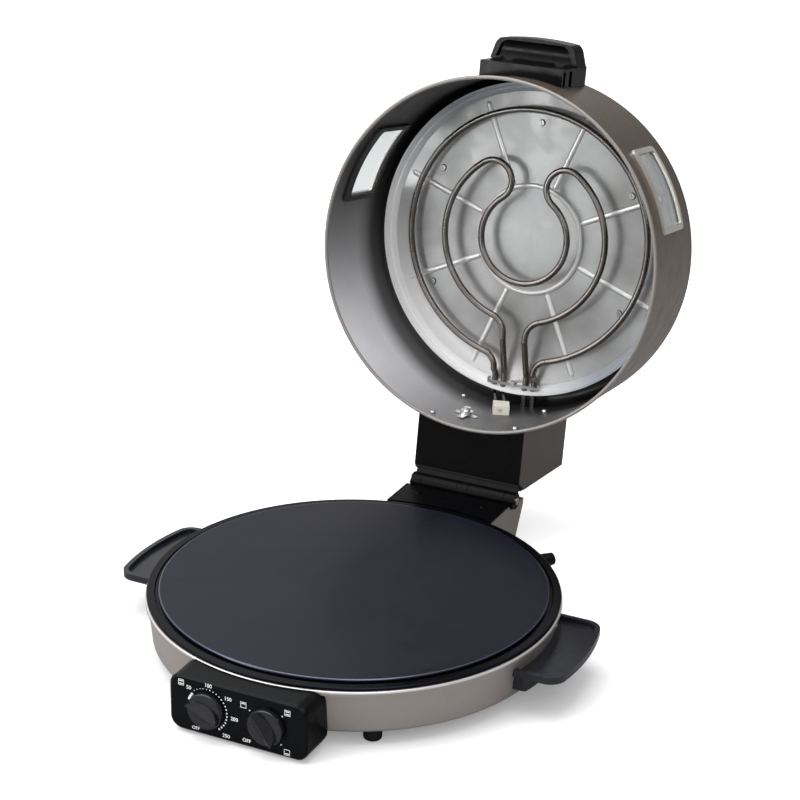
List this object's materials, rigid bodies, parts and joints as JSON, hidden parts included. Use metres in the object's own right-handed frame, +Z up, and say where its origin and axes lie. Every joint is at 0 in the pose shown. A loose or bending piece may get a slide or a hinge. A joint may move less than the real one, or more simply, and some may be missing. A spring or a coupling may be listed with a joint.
{
  "type": "electric roti maker",
  "caption": "Countertop electric flatbread cooker: round heated plate in a shallow pan, deep hinged lid with windows and grill elements, front control box with two knobs.",
  "frame": {"origin": "on the table under the middle of the whole outline, lid open", "axes": "+Z up, -Y towards the controls and +Y towards the hinge, +X to the right seen from the controls"},
  "size_m": [0.491, 0.7036, 0.5298],
  "materials": {
    "pan": "warm grey metallic",
    "plate": "dark coated casting",
    "black_plastic": "fine matt black",
    "knob_plastic": "satin black",
    "rubber": "matt black",
    "steel": "bright zinc",
    "cover": "galvanised sheet",
    "tube": "heat browned steel tube",
    "champagne": "warm grey metallic",
    "black_paint": "black powder coat",
    "reflector": "bright pressed sheet",
    "ceramic": "unglazed cream ceramic",
    "frame_trim": "pale satin trim",
    "liner": "dark grey",
    "glass": "clear",
    "phenolic": "cream moulding"
  },
  "bodies": {
    "base": {"base_shell": "pan", "bottom_cover": "cover", "bottom_screws": "steel", "feet": "rubber", "baking_plate": "plate", "plate_studs": "steel", "heat_shield": "reflector", "lower_element": "tube", "element_straps": "steel", "control_box": "black_plastic", "thermostat_body": "steel", "selector_switch": "phenolic", "left_handle": "black_plastic", "right_handle": "black_plastic", "left_handle_screws": "steel", "right_handle_screws": "steel", "hinge_bracket": "champagne", "hinge_top_leaf": "black_paint", "hinge_top_screws": "black_paint", "hinge_pin": "steel", "stop_bumpers": "rubber", "cord_gland": "black_plastic", "terminal_block": "phenolic"},
    "lid": {"lid_shell": "champagne", "reflector": "reflector", "reflector_spacers": "steel", "reflector_screws": "steel", "outer_element": "tube", "inner_element": "tube", "element_clip": "steel", "clip_screw": "steel", "ceramic_block": "ceramic", "thermal_cutout": "steel", "lid_handle_base": "black_plastic", "lid_handle_grip": "black_plastic", "lid_handle_screws": "steel", "left_window_frame": "frame_trim", "right_window_frame": "frame_trim", "left_window_glass": "glass", "right_window_glass": "glass", "left_window_liner": "liner", "right_window_liner": "liner", "hinge_housing": "champagne", "housing_face": "black_paint", "housing_screws": "steel", "hinge_leaf": "black_paint"},
    "thermostat_control": {"thermostat_knob": "knob_plastic", "thermostat_shaft": "steel"},
    "selector_control": {"selector_knob": "knob_plastic", "selector_shaft": "steel"}
  },
  "joints": [
    {"name": "lid_hinge", "type": "hinge", "parent": "base", "child": "lid", "pos_m": [0, 0.1452, 0.0655], "axis": [1, 0, 0], "range_deg": [0, 98.9]},
    {"name": "thermostat_turn", "type": "hinge", "parent": "base", "child": "thermostat_control", "pos_m": [-0.035, -0.339, 0.031], "axis": [0, 1, 0], "range_deg": [0, 280]},
    {"name": "selector_turn", "type": "hinge", "parent": "base", "child": "selector_control", "pos_m": [0.028, -0.339, 0.031], "axis": [0, 1, 0], "range_deg": [0, 270]}
  ]
}
